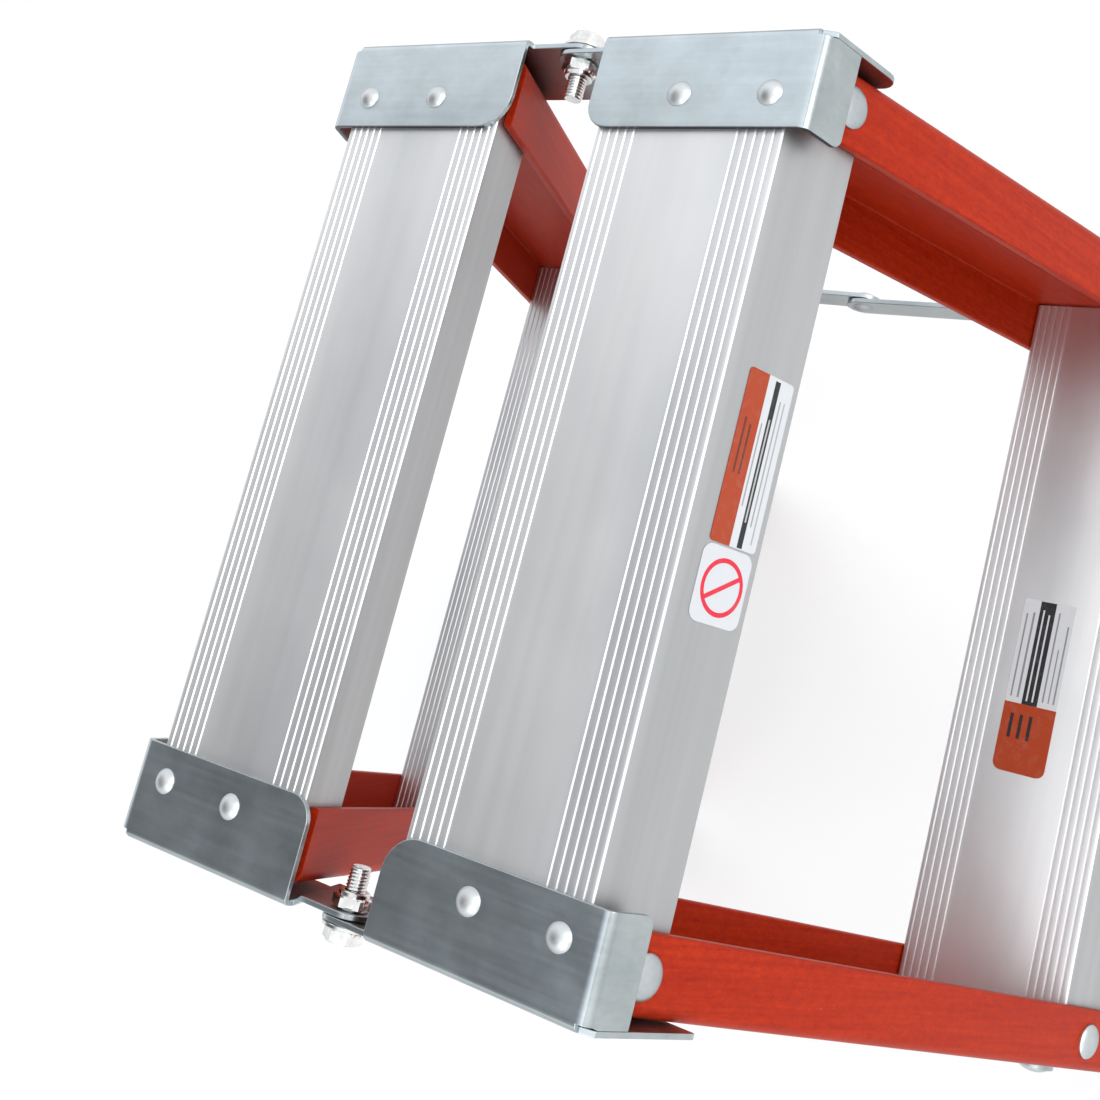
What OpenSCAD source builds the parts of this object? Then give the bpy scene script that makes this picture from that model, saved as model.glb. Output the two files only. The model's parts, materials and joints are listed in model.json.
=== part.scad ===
// Twin-front fibreglass stepladder: two climbing sides hinged at their top steps.
// The front side faces -Y, the rear side is the same assembly turned half round,
// and the ladder stands open on its four feet at z = 0.

/* [Ladder] */
// Number of steps on each side, the top one included
steps = 4; // [4:1:8]
// Distance from step to step, measured along the rails
pitch = 304.8; // [280:0.1:320]
// Angle of each side from upright when the ladder stands open
lean = 19; // [17:0.5:20]
// Angle at which each rail runs outwards towards the floor
flare = 3.3; // [2:0.1:3.3]

/* [Rails] */
// Half of the width across the rails at the top tread
top_half_width = 166.8; // [150:0.1:190]
// Depth of the rail channel from front to back
rail_depth = 83; // [80:0.5:90]
// Width of the channel's front and rear flanges
rail_flange = 28.5; // [26:0.5:34]
// Wall thickness of the channel
rail_wall = 4; // [3:0.1:4.5]
// Distance from the hinge plane to the rails at the top tread
rail_back = 19.2; // [19:0.1:24]

/* [Steps] */
// Depth of a tread from front to back
tread_depth = 78.8; // [74:0.1:79]
// Height of a step from its tread to its lower edge
step_height = 36.5; // [32:0.5:42]
// Wall thickness of the step extrusion
step_wall = 2.4; // [2:0.1:3]
// Number of grip grooves along each edge of a tread
groove_count = 5; // [3:1:6]

/* [Top brackets] */
// Sheet thickness of the brackets
sheet = 2.2; // [2:0.1:2.6]
// Width of the flange that lies on the top step
bracket_width = 39; // [32:0.5:44]
// Gap between the bracket's front lip and the rail
lip_gap = 3.2; // [3.1:0.1:5]

/* [Hinge] */
// Depth of the hinge bolt below the top tread
hinge_drop = 12; // [11:0.5:16]
// Radius of the hinge bolt
bolt_r = 4; // [3.5:0.5:4.5]

/* [Spreaders] */
// Width of a spreader bar
bar_width = 20; // [18:1:24]
// Thickness of a spreader bar
bar_sheet = 3; // [2.5:0.5:4]

/* [Feet] */
// Thickness of the rubber pads
pad_height = 8; // [6:0.5:12]
// Height of the foot shoes above the floor
shoe_height = 78; // [60:1:100]

/* [Hidden] */
$fn = 48;
SIDES = ["left", "right"];

fibreglass = [0.78, 0.22, 0.13];
aluminium = [0.83, 0.84, 0.86];
zinc = [0.66, 0.71, 0.73];
bright_zinc = [0.85, 0.86, 0.84];
rubber = [0.12, 0.12, 0.13];
label_orange = [0.80, 0.28, 0.04];
label_white = [0.93, 0.93, 0.92];

cut = 1;                                   // how far cutters run past a surface
far = 400;                                 // half-size of the large trimming shapes
run = 0.3;                                 // gap between pieces that pass each other
pin_play = 0.05;                           // radial clearance of a pin in its hole
hinge_slope = tan(lean);
flare_slope = tan(flare);
tread_top = steps * pitch * cos(lean);     // height of the top tread
tread_front = (rail_depth - rail_wall) / cos(lean);

// ---- the two sides, and the frames that their pieces are drawn in ----

// Puts a piece of the front side in place, or turns it round to the rear side
module climbing_side(rear) {
    rotate([0, 0, rear ? 180 : 0])
        children();
}

// Level frame: origin on the hinge plane at the top tread
module top_frame() {
    translate([0, 0, tread_top])
        children();
}

// Leaning frame: origin where the rails' rear faces meet the top tread, +Z up the rails
module leaning_frame() {
    translate([0, -rail_back, tread_top])
        rotate([-lean, 0, 0])
            children();
}

// Rail frame of the rail at side s (-1 left, 1 right): origin on its web's outer face
module rail_frame(s) {
    leaning_frame()
        translate([s * top_half_width, 0, 0])
            rotate([0, -s * flare, 0])
                children();
}

// Distance of a rail's outer face from the middle, at height z in the leaning frame
function web_x(z) = top_half_width - z * flare_slope;

// Everything between two heights above the floor
module level_slab(low, high) {
    translate([-far * 2, -far * 3, low])
        cube([far * 4, far * 6, high - low]);
}

// ---- small shapes ----

// Rectangle with round corners whose lower left corner is at the origin
module round_rect(w, h, r) {
    translate([r, 0])
        square([w - 2 * r, h]);
    translate([0, r])
        square([w, h - 2 * r]);
    for (x = [r, w - r])
        for (y = [r, h - r])
            translate([x, y])
                circle(r);
}

// What is cut away to round the corner at the origin of the quadrant -X, -Y
module corner_waste(r) {
    difference() {
        translate([-r, -r])
            square(r + cut);
        translate([-r, -r])
            circle(r);
    }
}

// Drawn in the YZ plane and made thick along X, from x to x + t
module side_sheet(x, t) {
    translate([x, 0, 0])
        rotate([90, 0, 90])
            linear_extrude(t)
                children();
}

// Cylinder along X from x1 to x2 through the point y, z
module rod_x(x1, x2, y, z, r) {
    translate([min(x1, x2), y, z])
        rotate([0, 90, 0])
            cylinder(r = r, h = abs(x2 - x1));
}

// Dome of radius r and height h standing on z = 0
module dome(r, h) {
    ball = (r * r + h * h) / (2 * h);
    intersection() {
        cylinder(r = r, h = h);
        translate([0, 0, h - ball])
            sphere(ball);
    }
}

// Rivet with its head on z = 0, a shank down through the grip and a tail under it
module rivet(head_r, head_h, shank_r, grip, tail_r, tail_h) {
    dome(head_r, head_h);
    translate([0, 0, -grip])
        cylinder(r = shank_r, h = grip);
    translate([0, 0, -grip - tail_h])
        cylinder(r = tail_r, h = tail_h);
}

// ---- rails ----

rail_corner = 5;                           // outer corner radius of the channel
rail_top_gap = 5;                          // depth of the rails' cut ends below the tread
shoe_sheet = 3;                            // thickness of the foot shoes
rail_foot = pad_height + shoe_sheet;       // height of the rails' lower ends

step_rivet_head = 8;
step_rivet_shank = 4;
rivet_inset = 14.4;                        // rivets' distance from the rail's outer face
top_rivet_drop = 23.5;                     // depth of the top step's rivets below its tread
step_rivet_drop = 16;                      // the same at the other steps
foot_rivet_shank = 3;
foot_rivet_height = 48;                    // height of the foot rivets above the floor
side_rivet_shank = 3.2;
side_rivet_depths = [-64, -98];            // places of the rivets in the bracket's side
side_rivet_drop = 26;

// Height of a step's rivet in the leaning frame, where the flange stands at depth y
function rivet_z(k, y) =
    -(steps - k) * pitch + y * hinge_slope
    - (k == steps ? top_rivet_drop : step_rivet_drop) / cos(lean);

// Steps that are riveted through the rails' flanges at depth y; the top step's back is not
function riveted_steps(y) = y < 0 ? steps : steps - 1;

// Calls its child at each step's rivet through the flange at depth y
module at_step_rivets(s, y) {
    for (k = [1:riveted_steps(y)])
        translate([s * (web_x(rivet_z(k, y)) - rivet_inset), y, rivet_z(k, y)])
            children();
}

module channel_profile() {
    intersection() {
        difference() {
            translate([-rail_flange - 2 * rail_corner, -rail_depth])
                round_rect(rail_flange + 2 * rail_corner, rail_depth, rail_corner);
            translate([-rail_flange - 3 * rail_corner, rail_wall - rail_depth])
                round_rect(rail_flange + 3 * rail_corner - rail_wall,
                    rail_depth - 2 * rail_wall, rail_corner - rail_wall);
        }
        translate([-rail_flange, -rail_depth])
            square([rail_flange, rail_depth]);
    }
}

spreader_drop = pitch * (floor(steps / 2) - 0.75);     // pivots' distance down the rails
pivot_depth = -rail_depth / 2;                         // pivots in the middle of the web
pivot_x = web_x(-spreader_drop);
pivot_y = -rail_back + pivot_depth * cos(lean) - spreader_drop * sin(lean);
pivot_z = tread_top - pivot_depth * sin(lean) - spreader_drop * cos(lean);
pivot_r = 4;

brace_drop = 118;                          // reach of a knee brace below its tread
brace_reach = 96;                          // reach of a knee brace in from the rail
brace_sheet = 3;
brace_width = 20;
brace_tab = 34;
brace_rivet_shank = 3;
brace_aside = 18;                          // places the braces behind the rib of the tread
brace_hole = brace_drop - brace_tab / 2;

// Middle of the brace's strap, which leans with the rails, at height z above the bottom tread
function brace_y(z) = -rail_depth / 2 / cos(lean) + brace_aside + z * hinge_slope;

// The rail's inner face there, clear of the strap's edges
function brace_x(z) =
    level_web_x(1, brace_y(z), z) - rail_wall / cos(flare)
    - flare_slope * sin(lean) * brace_width / 2 - rail_rub;

// Level frame of the step k: origin on the rails' rear faces at its tread
module step_frame(k) {
    leaning_frame()
        translate([0, 0, -(steps - k) * pitch])
            rotate([lean, 0, 0])
                children();
}

// Distance of the rail's outer face from the middle, at y, z in the level frame of step k
function level_web_x(k, y, z) =
    web_x(-(steps - k) * pitch + y * sin(lean) + z * cos(lean));

module rail(s) {
    color(fibreglass)
    difference() {
        rail_frame(s)
            translate([0, 0, -tread_top / cos(lean) - far / 4])
                linear_extrude(tread_top / cos(lean) + far / 2)
                    scale([s, 1])
                        channel_profile();
        level_slab(tread_top - rail_top_gap, tread_top + far);
        level_slab(-far, rail_foot);
        for (y = [0, -rail_depth])
            leaning_frame()
                at_step_rivets(s, y)
                    rotate([90, 0, 0])
                        cylinder(r = step_rivet_shank, h = 4 * rail_wall, center = true);
        for (y = side_rivet_depths)
            top_frame()
                rod_x(s * (top_half_width - 3 * rail_wall), s * (top_half_width + far),
                    y, -side_rivet_drop, side_rivet_shank);
        rod_x(s * (pivot_x - 3 * rail_wall), s * (pivot_x + far), pivot_y, pivot_z, pivot_r);
        at_brace_foot(s)
            cylinder(r = brace_rivet_shank, h = 6 * rail_wall, center = true);
        at_foot_rivets(s)
            cylinder(r = foot_rivet_shank, h = 6 * rail_wall, center = true);
    }
}

// ---- steps ----

groove_width = 1.3;
groove_depth = 0.8;
groove_pitch = 3.6;
groove_edge = 2.6;                         // distance of the first groove from the edge
lip = 9;                                   // inward lips along the step's lower edges
stiffener = 13;                            // depth of the rib under the middle of the tread
end_gap = 1;                               // gap between a step's ends and the rails

// Corners of one band of grooves in the tread, the first groove starting at y
function groove_band(y) = [for (i = [0:groove_count - 1])
    each [for (c = [[0, 0], [0, -1], [1, -1], [1, 0]])
        [y + i * groove_pitch + c[0] * groove_width, c[1] * groove_depth]]];

// One extrusion: tread, two leaning flanges with inward lips, and a rib down the middle
module step_profile() {
    wall = step_wall / cos(lean);
    low = -step_height;
    low_shift = low * hinge_slope;
    lip_top = low + step_wall;
    lip_shift = lip_top * hinge_slope;
    under_shift = -step_wall * hinge_slope;
    band = 2 * groove_edge + (groove_count - 1) * groove_pitch + groove_width;
    rib = (tread_depth - step_wall) / 2;
    translate([-tread_front, 0])
        polygon(concat(
            [[0, 0]],
            groove_band(groove_edge),
            groove_band(tread_depth - band + groove_edge),
            [[tread_depth, 0],
                [tread_depth + low_shift, low], [tread_depth + low_shift - lip, low],
                [tread_depth + low_shift - lip, lip_top],
                [tread_depth + lip_shift - wall, lip_top],
                [tread_depth + under_shift - wall, -step_wall],
                [rib + step_wall, -step_wall], [rib + step_wall, -stiffener],
                [rib, -stiffener], [rib, -step_wall],
                [wall + under_shift, -step_wall], [wall + lip_shift, lip_top],
                [low_shift + lip, lip_top], [low_shift + lip, low], [low_shift, low]]));
}

// The space between the two rails' webs at step k, in the frame of that step's rivets
module between_rails(k) {
    out = (steps - k) * pitch * flare_slope - rail_wall / cos(flare) - end_gap;
    rotate([90, 0, 0])
        linear_extrude(far, center = true)
            polygon([for (c = [[-1, -1], [1, -1], [1, 1], [-1, 1]])
                [c[0] * (web_x(c[1] * far / 2) + out), c[1] * far / 2]]);
}

module step(k) {
    color(aluminium)
    difference() {
        leaning_frame()
            translate([0, 0, -(steps - k) * pitch])
                intersection() {
                    rotate([lean, 0, 0])
                        side_sheet(-far, 2 * far)
                            step_profile();
                    between_rails(k);
                }
        for (s = [-1, 1])
            for (y = [0, -rail_depth])
                if (k <= riveted_steps(y))
                    leaning_frame()
                        translate([s * (web_x(rivet_z(k, y)) - rivet_inset), y, rivet_z(k, y)])
                            rotate([90, 0, 0])
                                cylinder(r = step_rivet_shank, h = 6 * rail_wall, center = true);
        if (k == steps)
            at_top_rivets()
                translate([0, 0, -2 * step_wall])
                    cylinder(r = top_rivet_shank, h = 4 * step_wall);
        if (k == 1)
            for (s = [-1, 1])
                at_brace_tab(s)
                    cylinder(r = brace_rivet_shank, h = 2 * (step_wall - groove_depth),
                        center = true);
    }
}

module step_rivets() {
    color(bright_zinc)
    leaning_frame()
        for (s = [-1, 1]) {
            at_step_rivets(s, -rail_depth)
                rotate([90, 0, 0])
                    rivet(step_rivet_head, 3, step_rivet_shank, rail_wall + step_wall, 6, 2);
            at_step_rivets(s, 0)
                rotate([-90, 0, 0])
                    rivet(step_rivet_head, 3, step_rivet_shank,
                        rail_depth - rail_wall - tread_depth * cos(lean) + step_wall, 6, 2);
        }
}

// ---- top brackets ----

outer_ear_drop = 46;                       // reach below the tread of a plate with an outer ear
inner_ear_drop = 40;                       // the same of a plate with an inner ear
rail_rub = 0.1;                            // gap where a plate's lowest corner meets the rail
plate_foot = lip_y(sheet, -outer_ear_drop) + rail_back;
bracket_in = level_web_x(steps, plate_foot, -outer_ear_drop) + rail_rub;   // plates' inner face
bracket_out = bracket_in + sheet;
bracket_edge = bracket_out - bracket_width;
bracket_back = 19;                         // hinge-side edge of the top flange
lip_drop = 16;                             // depth of the front lip below the tread
lip_corner = 4;
ear_top = -3;                              // upper edge of the hinge ears
ear_reach = 9;                             // ears' reach past the hinge plane
ear_corner = 8;
inner_ear = bracket_in - sheet - run;      // inner face of the ears that lie inside
joggle = 4;                                // length over which such an ear steps inwards
relief = 2.2;                              // notch where the two folds meet
top_rivet_shank = 2.6;
top_rivet_depths = [-58, -95];
top_rivet_x = 148;
bolt_hole = bolt_r + pin_play;

// Distance of the front lip's face from the hinge plane at height z, out by t
function lip_y(t, z) = -(rail_back + (rail_depth + lip_gap + t) / cos(lean)) + z * hinge_slope;

module at_top_rivets() {
    for (s = [-1, 1])
        for (y = top_rivet_depths)
            top_frame()
                translate([s * top_rivet_x, y, 0])
                    children();
}

// Outline of the side plate with its hinge ear; drop is its reach below the tread
module plate_outline(drop, front_corner) {
    difference() {
        polygon([[-bracket_back, sheet], [-bracket_back, ear_top], [ear_reach, ear_top],
            [ear_reach, -drop], [lip_y(sheet, -drop), -drop], [lip_y(sheet, sheet), sheet]]);
        translate([ear_reach, ear_top])
            corner_waste(ear_corner);
        translate([ear_reach, -drop])
            scale([1, -1])
                corner_waste(ear_corner);
        translate([lip_y(sheet, -drop), -drop])
            scale([-1, -1])
                corner_waste(front_corner);
        translate([0, -hinge_drop])
            circle(bolt_hole);
        for (y = side_rivet_depths)
            translate([y, -side_rivet_drop])
                circle(side_rivet_shank);
        translate([lip_y(sheet, 0), 0])
            circle(relief);
    }
}

// The bracket on the right, type 1 with a flat ear outside, type 2 with a stepped ear inside
module right_bracket(type) {
    corner = type == 1 ? 14 : 10;
    drop = type == 1 ? outer_ear_drop : inner_ear_drop;
    difference() {
        union() {
            side_sheet(bracket_edge, bracket_width - sheet / 2)
                polygon([[-bracket_back, 0], [-bracket_back, sheet],
                    [lip_y(sheet, sheet), sheet], [lip_y(sheet, -lip_drop), -lip_drop],
                    [lip_y(0, -lip_drop), -lip_drop], [lip_y(0, 0), 0]]);
            if (type == 1)
                side_sheet(bracket_in, sheet)
                    plate_outline(drop, 1);
            else
                intersection() {
                    side_sheet(inner_ear - cut, bracket_width)
                        plate_outline(drop, 6);
                    stepped_plate();
                }
        }
        translate([bracket_edge, -bracket_back, -cut])
            linear_extrude(sheet + 2 * cut)
                scale([-1, 1])
                    corner_waste(corner);
        translate([bracket_edge, lip_y(0, -lip_drop), -lip_drop])
            rotate([90 - lean, 0, 0])
                linear_extrude(4 * sheet, center = true)
                    scale([-1, -1])
                        corner_waste(lip_corner);
        for (y = top_rivet_depths)
            translate([top_rivet_x, y, -cut])
                cylinder(r = top_rivet_shank, h = sheet + 2 * cut);
    }
}

// Upright sheet that steps in by its own thickness between the rail and the hinge
module stepped_plate() {
    translate([0, -rail_back, 0])
        rotate([-lean, 0, 0])
            linear_extrude(far, center = true)
                polygon([
                    [bracket_in, -far], [bracket_in, 0], [inner_ear, joggle], [inner_ear, far],
                    [inner_ear + sheet, far], [inner_ear + sheet, joggle + 0.6],
                    [bracket_out, 0.6], [bracket_out, -far]]);
}

module bracket(s, type) {
    color(zinc)
    top_frame()
        if (s > 0)
            right_bracket(type);
        else
            mirror([1, 0, 0])
                right_bracket(type);
}

module bracket_rivets() {
    color(bright_zinc) {
        at_top_rivets()
            translate([0, 0, sheet])
                rivet(5, 2.6, top_rivet_shank, sheet + step_wall, 4, 1.5);
        top_frame()
            for (s = [-1, 1])
                for (y = side_rivet_depths)
                    translate([s * bracket_out, y, -side_rivet_drop])
                        rotate([0, s * 90, 0])
                            rivet(6, 2.6, side_rivet_shank, bracket_out - side_web_x(y)
                                + rail_wall / cos(flare) + 0.3, 5, 1.5);
    }
}

// Distance of the rail's outer face from the middle behind the side rivet at depth y
function side_web_x(y) = level_web_x(steps, y + rail_back, -side_rivet_drop);

// ---- hinge bolts ----

washer_sheet = 1.6;
head_height = 5.3;
nut_height = 6.4;
bolt_inner_end = 153.5;                    // distance of the threaded ends from the middle
washer_x = bracket_out + run;              // inner face of the outer washers
nut_x = [inner_ear - run, inner_ear];      // outer face of the nuts, left and right

module hinge_bolt(s) {
    color(bright_zinc)
    top_frame() {
        rod_x(s * bolt_inner_end, s * (washer_x + washer_sheet), 0, -hinge_drop, bolt_r);
        translate([s * (washer_x + washer_sheet), 0, -hinge_drop])
            rotate([0, s * 90, 0])
                cylinder(r = 7.5, h = head_height, $fn = 6);
    }
}

module hinge_washers() {
    color(bright_zinc)
    top_frame()
        for (s = [-1, 1])
            difference() {
                rod_x(s * washer_x, s * (washer_x + washer_sheet), 0, -hinge_drop, 9);
                rod_x(s * (washer_x - cut), s * (washer_x + far), 0, -hinge_drop, bolt_r);
            }
}

module hinge_lock_nuts() {
    color(bright_zinc)
    top_frame()
        for (s = [-1, 1])
            translate([s * nut_x[(s + 1) / 2], 0, -hinge_drop])
                rotate([0, -s * 90, 0])
                    difference() {
                        union() {
                            cylinder(r = 7.5, h = nut_height * 0.72, $fn = 6);
                            cylinder(r = 5.8, h = nut_height);
                        }
                        translate([0, 0, -cut])
                            cylinder(r = bolt_r, h = nut_height + 2 * cut);
                    }
}

// ---- knee braces under the bottom step ----

// Calls its child on the rail's outer face over the brace's foot, +Z pointing outwards
module at_brace_foot(s) {
    y = brace_y(-brace_hole);
    step_frame(1)
        translate([s * level_web_x(1, y, -brace_hole), y, -brace_hole])
            rotate([-lean, 0, 0])
                rotate([0, s * (90 - flare), 0])
                    children();
}

// Calls its child at the underside of the bottom step, over the brace's upper tab
module at_brace_tab(s) {
    step_frame(1)
        translate([s * (brace_x(0) - brace_reach + brace_tab / 2), brace_y(0), -step_wall])
            children();
}

// Flat stretch of the strap from x1, z1 down to x2, z2, its thickness below or inside that line
module strap(x1, z1, x2, z2) {
    length = norm([x2 - x1, z2 - z1]);
    translate([x1, 0, z1])
        rotate([0, atan2(z1 - z2, x2 - x1), 0])
            translate([0, 0, -brace_sheet])
                linear_extrude(brace_sheet)
                    polygon([for (c = [[0, -1], [1, -1], [1, 1], [0, 1]])
                        [c[0] * length, brace_y(c[0] == 0 ? z1 : z2) + c[1] * brace_width / 2]]);
}

module knee_brace(s) {
    bend_z = brace_tab - brace_drop;
    tab_x = brace_x(0) - brace_reach;
    lap = brace_sheet / 2;
    color(zinc)
    difference() {
        step_frame(1)
            mirror([s > 0 ? 0 : 1, 0, 0])
                union() {
                    strap(tab_x, -step_wall, tab_x + brace_tab + lap, -step_wall);
                    strap(tab_x + brace_tab, -step_wall, brace_x(bend_z), bend_z);
                    strap(brace_x(bend_z + lap), bend_z + lap, brace_x(-brace_drop), -brace_drop);
                }
        at_brace_foot(s)
            cylinder(r = brace_rivet_shank, h = 8 * rail_wall, center = true);
        at_brace_tab(s)
            cylinder(r = brace_rivet_shank, h = 4 * brace_sheet, center = true);
    }
}

module brace_rivets() {
    color(bright_zinc)
    for (s = [-1, 1]) {
        at_brace_foot(s)
            rivet(6, 2.6, brace_rivet_shank, rail_wall + brace_sheet + 0.8, 5, 2);
        at_brace_tab(s)
            rotate([180, 0, 0])
                translate([0, 0, brace_sheet]) {
                    dome(6, 2.6);
                    translate([0, 0, groove_depth - step_wall - brace_sheet])
                        cylinder(r = brace_rivet_shank,
                            h = brace_sheet + step_wall - groove_depth);
                }
    }
}

// ---- feet ----

shoe_wall = 2.5;
pad_margin = 5;

// Calls its child at the rivets through the shoe and the rail's web, +Z pointing outwards
module at_foot_rivets(s) {
    for (depth = [0.27, 0.73]) {
        y = -rail_depth * depth;
        z = (foot_rivet_height - tread_top + y * sin(lean)) / cos(lean);
        leaning_frame()
            translate([s * web_x(z), y, z])
                rotate([0, s * (90 - flare), 0])
                    children();
    }
}

// Leaning block around a rail's end: x1 to x2 outwards from its outer face, margin m
module foot_block(s, x1, x2, m) {
    rail_frame(s)
        translate([s > 0 ? x1 : -x2, -rail_depth - m, -tread_top / cos(lean) - far / 4])
            cube([x2 - x1, rail_depth + 2 * m, far]);
}

module foot_shoe(s) {
    color(aluminium)
    difference() {
        union() {
            intersection() {
                foot_block(s, -rail_flange, shoe_wall, shoe_wall);
                level_slab(pad_height, shoe_height);
            }
            intersection() {
                foot_block(s, -rail_flange - shoe_wall, shoe_wall + 1, shoe_wall + 1);
                level_slab(pad_height, rail_foot);
            }
        }
        intersection() {
            foot_block(s, -rail_flange - far / 10, 0, 0);
            level_slab(rail_foot, shoe_height + cut);
        }
        at_foot_rivets(s)
            cylinder(r = foot_rivet_shank, h = 6 * rail_wall, center = true);
    }
}

module foot_pad(s) {
    y_mid = -rail_back - tread_top * hinge_slope - rail_depth / 2 / cos(lean);
    color(rubber)
    difference() {
        intersection() {
            foot_block(s, -rail_flange - pad_margin, pad_margin, pad_margin);
            level_slab(0, pad_height);
        }
        for (i = [-2.5:1:2.5])
            translate([-far * 2, y_mid + i * 15 - 2, -cut])
                cube([far * 4, 4, cut + 2.5]);
    }
}

module foot_rivets() {
    color(bright_zinc)
    for (s = [-1, 1])
        at_foot_rivets(s)
            translate([0, 0, shoe_wall])
                rivet(6, 2.6, foot_rivet_shank, shoe_wall + rail_wall, 5, 1.5);
}

// ---- spreaders ----
// Each is two bars that meet over the hinge plane, the joint a little below the pivots.
// One bar of each pair runs outside the other, so that they pass as the ladder folds.

over_centre = 2;                           // degrees that the bars dip when they lock open
bar_length = -pivot_y / cos(over_centre);
bar_gap = 0.4;
spacer_base = 0.6;                         // lets a flat spacer sit on the flared rail
spacer_r = 9;

// Inner face of a bar: lane 0 is beside the rail, lane 1 outside that
function bar_x(lane) = pivot_x + spacer_base + 3 + lane * (bar_sheet + bar_gap);

// The right rail's bar is in the inner lane and the left rail's in the outer one
function lane_of(s) = s > 0 ? 0 : 1;

// Calls its child in the plane of the bar on side s, along +X from its pivot
module along_bar(s) {
    translate([s * (bar_x(lane_of(s)) + (s > 0 ? 0 : bar_sheet)), pivot_y, pivot_z])
        rotate([90, 0, 90])
            rotate([0, 0, -over_centre])
                children();
}

module spreader_bar(s) {
    color(zinc)
    along_bar(s)
        difference() {
            linear_extrude(bar_sheet) {
                translate([0, -bar_width / 2])
                    square([bar_length, bar_width]);
                for (x = [0, bar_length])
                    translate([x, 0])
                        circle(bar_width / 2);
            }
            translate([0, 0, -cut])
                cylinder(r = pivot_r + pin_play, h = bar_sheet + 2 * cut);
            translate([bar_length, 0, -cut])
                cylinder(r = pivot_r, h = bar_sheet + 2 * cut);
        }
}

// Half of the joint's rivet: the head on the outer bar, or the tail on the inner one
module spreader_rivet(s) {
    outer = lane_of(s) == 1;
    face = bar_x(lane_of(s));
    y = 0;
    z = pivot_z + pivot_y * tan(over_centre);
    color(bright_zinc) {
        rod_x(s * face, s * (face + bar_sheet), y, z, pivot_r);
        translate([s * (outer ? face + bar_sheet : face), y, z])
            rotate([0, (outer ? s : -s) * 90, 0])
                dome(outer ? 8 : 6.5, outer ? 3 : 2);
    }
}

module spreader_pivots() {
    color(bright_zinc)
    for (s = [-1, 1]) {
        inner = bar_x(lane_of(s));
        outer = inner + bar_sheet + run;
        rod_x(s * (pivot_x - rail_wall - 2), s * outer, pivot_y, pivot_z, pivot_r);
        rod_x(s * (pivot_x + spacer_base), s * (inner - run), pivot_y, pivot_z, spacer_r);
        rod_x(s * (pivot_x - rail_wall - 2.6), s * (pivot_x - rail_wall - 0.6),
            pivot_y, pivot_z, 6.5);
        translate([s * outer, pivot_y, pivot_z])
            rotate([0, s * 90, 0])
                dome(8, 3);
    }
}

// ---- labels ----

film = 0.25;                               // thickness of the label film

// A label on the front of the top step: x1 to x2 across, z1 to z2 down from the tread's edge
module flange_label(x1, x2, z1, z2) {
    leaning_frame()
        translate([x1, rail_wall - rail_depth - film,
                (rail_wall - rail_depth) * hinge_slope - z2])
            cube([x2 - x1, film, z2 - z1]);
}

module top_step_label() {
    color(label_orange)
        flange_label(-10.8, 51.5, 11.8, 35);
}

module top_step_sticker() {
    color(label_white)
        flange_label(-38.8, -11.6, 10.3, 35);
}

module second_step_label() {
    color(label_orange)
    step_frame(steps - 1)
        translate([-61.5, -tread_front + tread_depth - 49.5, 0])
            cube([86, 25, film]);
}

// ---- the pieces, one node each ----

module part(name) {
    children();
}

for (r = [0, 1]) {
    side_name = r == 0 ? "front_" : "rear_";
    for (s = [-1, 1]) {
        name = str(side_name, SIDES[(s + 1) / 2]);
        type = s > 0 ? 2 : 1;
        part(str(name, "_rail")) climbing_side(r == 1) rail(s);
        part(str(name, "_bracket")) climbing_side(r == 1) bracket(s, type);
        part(str(name, "_knee_brace")) climbing_side(r == 1) knee_brace(s);
        part(str(name, "_foot_shoe")) climbing_side(r == 1) foot_shoe(s);
        part(str(name, "_foot_pad")) climbing_side(r == 1) foot_pad(s);
        part(str(name, "_spreader_bar")) climbing_side(r == 1) spreader_bar(s);
        part(str(name, "_spreader_rivet")) climbing_side(r == 1) spreader_rivet(s);
    }
    for (k = [1:steps])
        part(str(side_name, "step_", k)) climbing_side(r == 1) step(k);
    part(str(side_name, "bracket_rivets")) climbing_side(r == 1) bracket_rivets();
    part(str(side_name, "step_rivets")) climbing_side(r == 1) step_rivets();
    part(str(side_name, "brace_rivets")) climbing_side(r == 1) brace_rivets();
    part(str(side_name, "foot_rivets")) climbing_side(r == 1) foot_rivets();
    part(str(side_name, "spreader_pivots")) climbing_side(r == 1) spreader_pivots();
}
hinge_bolt(-1);  // left_hinge_bolt
hinge_bolt(1);  // right_hinge_bolt
hinge_washers();
hinge_lock_nuts();
top_step_label();
top_step_sticker();
second_step_label();
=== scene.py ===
import json
import math

import bmesh
import bpy
from mathutils import Matrix, Vector


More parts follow.
